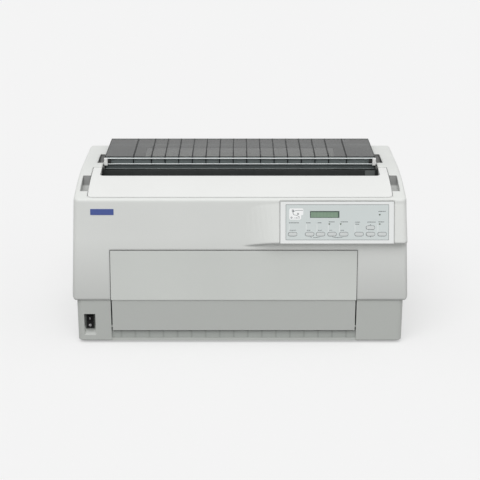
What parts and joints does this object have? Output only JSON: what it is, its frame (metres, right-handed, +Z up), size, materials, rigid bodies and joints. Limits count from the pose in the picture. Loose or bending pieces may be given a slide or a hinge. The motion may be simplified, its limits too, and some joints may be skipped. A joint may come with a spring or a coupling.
{
  "type": "dot matrix printer",
  "caption": "Wide desktop dot matrix printer with a hinged top lid, ribbed smoke rear cover, drop-down front flap, tilted control panel and tractor-fed print mechanism.",
  "frame": {"origin": "on the table, under the middle of the case's box", "axes": "+X along the platen to the right as seen from the front, +Y to the rear, +Z up; the front faces -Y"},
  "size_m": [0.7, 0.382, 0.363],
  "materials": {
    "case_light": "fine spark-eroded moulding texture, satin",
    "case_grey": "fine spark-eroded moulding texture, satin",
    "lid_white": "fine moulding texture, satin",
    "flap_grey": "fine moulding texture, satin",
    "smoke_clear": "tinted transparent plastic, polished",
    "black_plastic": "satin black",
    "wire_chrome": "polished",
    "steel_plate": "zinc-plated sheet",
    "ground_steel": "ground bright",
    "gear_plastic": "unfilled acetal, satin",
    "brass_gear": "machined",
    "roller_rubber": "ground rubber",
    "foot_rubber": "moulded rubber",
    "belt_rubber": "toothed neoprene",
    "motor_black": "satin black paint",
    "head_alloy": "cast and blackened",
    "pin_belt_grey": "flexible moulding",
    "overlay_print": "printed polyester film",
    "display_green": "display glass, reflective green",
    "circuit_green": "solder-resist lacquer",
    "lever_blue": "satin",
    "button_light": "satin"
  },
  "bodies": {
    "housing": {"base_pan": "case_grey", "upper_housing": "case_light", "rear_panel": "case_light", "rubber_feet": "foot_rubber", "front_paper_guide": "case_grey", "paper_exit_guide": "black_plastic", "control_bezel": "case_light", "panel_overlay": "overlay_print", "lcd_module": "display_green", "panel_board": "circuit_green", "power_switch_body": "black_plastic", "ac_inlet": "black_plastic", "interface_ports": "steel_plate", "fan_frame": "black_plastic", "chassis_plate": "steel_plate", "left_side_frame": "steel_plate", "right_side_frame": "steel_plate", "cross_stay": "steel_plate", "guide_shafts": "ground_steel", "ribbon_cartridge": "black_plastic", "carriage_motor": "motor_black", "timing_belt": "belt_rubber", "feed_motor": "motor_black", "power_supply_and_board": "steel_plate"},
    "top_lid": {"top_lid": "lid_white"},
    "rear_cover": {"smoke_cover": "smoke_clear", "wire_brackets": "lid_white", "guide_wires": "wire_chrome"},
    "front_flap": {"front_flap": "flap_grey"},
    "power_rocker": {"power_rocker": "black_plastic"},
    "fan_rotor": {"fan_rotor": "black_plastic"},
    "carriage": {"carriage": "black_plastic", "print_head": "head_alloy"},
    "ribbon_knob": {"ribbon_knob": "lever_blue"},
    "motor_pulley": {"motor_pulley": "ground_steel"},
    "idler_pulley": {"idler_pulley": "ground_steel"},
    "platen": {"platen": "roller_rubber", "platen_gear": "gear_plastic"},
    "feed_pinion": {"feed_pinion": "brass_gear"},
    "feed_idler_gear": {"feed_idler_gear": "gear_plastic"},
    "tractor_shaft": {"tractor_shaft": "ground_steel"},
    "front_rear_button": {"front_rear_button": "button_light"},
    "load_button": {"load_button": "button_light"},
    "eject_button": {"eject_button": "button_light"},
    "tear_off_button": {"tear_off_button": "button_light"},
    "pitch_button": {"pitch_button": "button_light"},
    "form_feed_button": {"form_feed_button": "button_light"},
    "micro_feed_up_button": {"micro_feed_up_button": "button_light"},
    "micro_feed_down_button": {"micro_feed_down_button": "button_light"},
    "pause_button": {"pause_button": "button_light"},
    "left_tractor": {"left_tractor": "black_plastic", "left_pin_belt": "pin_belt_grey"},
    "left_sprocket": {"left_sprocket": "gear_plastic"},
    "left_tractor_cover": {"left_tractor_cover": "black_plastic"},
    "left_lock_lever": {"left_lock_lever": "lever_blue"},
    "right_tractor": {"right_tractor": "black_plastic", "right_pin_belt": "pin_belt_grey"},
    "right_sprocket": {"right_sprocket": "gear_plastic"},
    "right_tractor_cover": {"right_tractor_cover": "black_plastic"},
    "right_lock_lever": {"right_lock_lever": "lever_blue"}
  },
  "joints": [
    {"name": "top_lid_hinge", "type": "hinge", "parent": "housing", "child": "top_lid", "pos_m": [0, -0.0212, 0.33938], "axis": [-1, 0, 0], "range_deg": [0, 75]},
    {"name": "rear_cover_hinge", "type": "hinge", "parent": "housing", "child": "rear_cover", "pos_m": [0, 0.182, 0.3503], "axis": [-1, 0, 0], "range_deg": [0, 92]},
    {"name": "front_flap_hinge", "type": "hinge", "parent": "housing", "child": "front_flap", "pos_m": [0, -0.16839, 0.037], "axis": [1, 0, 0], "range_deg": [0, 84]},
    {"name": "front_rear_button_press", "type": "slide", "parent": "housing", "child": "front_rear_button", "axis": [0, 0.9699, -0.2435], "range_m": [0, 0.0008], "stiffness_N_per_m": 900},
    {"name": "load_button_press", "type": "slide", "parent": "housing", "child": "load_button", "axis": [0, 0.9699, -0.2435], "range_m": [0, 0.0008], "stiffness_N_per_m": 900},
    {"name": "eject_button_press", "type": "slide", "parent": "housing", "child": "eject_button", "axis": [0, 0.9699, -0.2435], "range_m": [0, 0.0008], "stiffness_N_per_m": 900},
    {"name": "tear_off_button_press", "type": "slide", "parent": "housing", "child": "tear_off_button", "axis": [0, 0.9699, -0.2435], "range_m": [0, 0.0008], "stiffness_N_per_m": 900},
    {"name": "pitch_button_press", "type": "slide", "parent": "housing", "child": "pitch_button", "axis": [0, 0.9699, -0.2435], "range_m": [0, 0.0008], "stiffness_N_per_m": 900},
    {"name": "form_feed_button_press", "type": "slide", "parent": "housing", "child": "form_feed_button", "axis": [0, 0.9699, -0.2435], "range_m": [0, 0.0008], "stiffness_N_per_m": 900},
    {"name": "micro_feed_up_button_press", "type": "slide", "parent": "housing", "child": "micro_feed_up_button", "axis": [0, 0.9699, -0.2435], "range_m": [0, 0.0008], "stiffness_N_per_m": 900},
    {"name": "micro_feed_down_button_press", "type": "slide", "parent": "housing", "child": "micro_feed_down_button", "axis": [0, 0.9699, -0.2435], "range_m": [0, 0.0008], "stiffness_N_per_m": 900},
    {"name": "pause_button_press", "type": "slide", "parent": "housing", "child": "pause_button", "axis": [0, 0.9699, -0.2435], "range_m": [0, 0.0008], "stiffness_N_per_m": 900},
    {"name": "power_rocker_tilt", "type": "hinge", "parent": "housing", "child": "power_rocker", "pos_m": [-0.3155, -0.16882, 0.048], "axis": [1, 0, 0], "range_deg": [0, 14]},
    {"name": "fan_spin", "type": "hinge", "parent": "housing", "child": "fan_rotor", "pos_m": [0.19, 0.188, 0.226], "axis": [0, 1, 0], "continuous": true},
    {"name": "carriage_slide", "type": "slide", "parent": "housing", "child": "carriage", "axis": [1, 0, 0], "range_m": [0, 0.45]},
    {"name": "ribbon_knob_spin", "type": "hinge", "parent": "housing", "child": "ribbon_knob", "pos_m": [-0.225, -0.13, 0.2985], "axis": [0, 0, 1], "continuous": true},
    {"name": "motor_pulley_spin", "type": "hinge", "parent": "housing", "child": "motor_pulley", "pos_m": [0.273, -0.086, 0.21], "axis": [0, 0, 1], "continuous": true},
    {"name": "idler_pulley_spin", "type": "hinge", "parent": "housing", "child": "idler_pulley", "pos_m": [-0.273, -0.086, 0.21], "axis": [0, 0, 1], "continuous": true},
    {"name": "platen_spin", "type": "hinge", "parent": "housing", "child": "platen", "pos_m": [0, -0.02, 0.262], "axis": [1, 0, 0], "continuous": true},
    {"name": "feed_pinion_spin", "type": "hinge", "parent": "housing", "child": "feed_pinion", "pos_m": [0, -0.00307, 0.21549], "axis": [1, 0, 0], "continuous": true},
    {"name": "feed_idler_spin", "type": "hinge", "parent": "housing", "child": "feed_idler_gear", "pos_m": [0, -0.08386, 0.22875], "axis": [1, 0, 0], "continuous": true},
    {"name": "tractor_shaft_spin", "type": "hinge", "parent": "housing", "child": "tractor_shaft", "pos_m": [0, -0.13068, 0.1866], "axis": [1, 0, 0], "continuous": true},
    {"name": "left_tractor_slide", "type": "slide", "parent": "housing", "child": "left_tractor", "axis": [1, 0, 0], "range_m": [-0.012, 0.1]},
    {"name": "left_sprocket_spin", "type": "hinge", "parent": "left_tractor", "child": "left_sprocket", "pos_m": [-0.225, -0.13068, 0.1866], "axis": [1, 0, 0], "continuous": true},
    {"name": "left_tractor_cover_hinge", "type": "hinge", "parent": "left_tractor", "child": "left_tractor_cover", "pos_m": [-0.2371, -0.14515, 0.1612], "axis": [0, 0, -1], "range_deg": [0, 95]},
    {"name": "left_lock_lever_turn", "type": "hinge", "parent": "left_tractor", "child": "left_lock_lever", "pos_m": [-0.225, -0.13068, 0.1358], "axis": [1, 0, 0], "range_deg": [0, 35]},
    {"name": "right_tractor_slide", "type": "slide", "parent": "housing", "child": "right_tractor", "axis": [1, 0, 0], "range_m": [-0.3, 0.015]},
    {"name": "right_sprocket_spin", "type": "hinge", "parent": "right_tractor", "child": "right_sprocket", "pos_m": [0.2, -0.13068, 0.1866], "axis": [1, 0, 0], "continuous": true},
    {"name": "right_tractor_cover_hinge", "type": "hinge", "parent": "right_tractor", "child": "right_tractor_cover", "pos_m": [0.2121, -0.14515, 0.1612], "axis": [0, 0, 1], "range_deg": [0, 95]},
    {"name": "right_lock_lever_turn", "type": "hinge", "parent": "right_tractor", "child": "right_lock_lever", "pos_m": [0.2, -0.13068, 0.1358], "axis": [1, 0, 0], "range_deg": [0, 35]}
  ],
  "couplings": [
    {"joint": "motor_pulley_spin", "follows": "carriage_slide", "rad_per_m": 83.333},
    {"joint": "idler_pulley_spin", "follows": "carriage_slide", "rad_per_m": 83.333},
    {"joint": "feed_idler_spin", "follows": "platen_spin", "ratio": -1},
    {"joint": "feed_pinion_spin", "follows": "platen_spin", "ratio": -2.6667},
    {"joint": "tractor_shaft_spin", "follows": "platen_spin", "ratio": 1.3333},
    {"joint": "left_sprocket_spin", "follows": "platen_spin", "ratio": 1.3333},
    {"joint": "right_sprocket_spin", "follows": "platen_spin", "ratio": 1.3333}
  ]
}
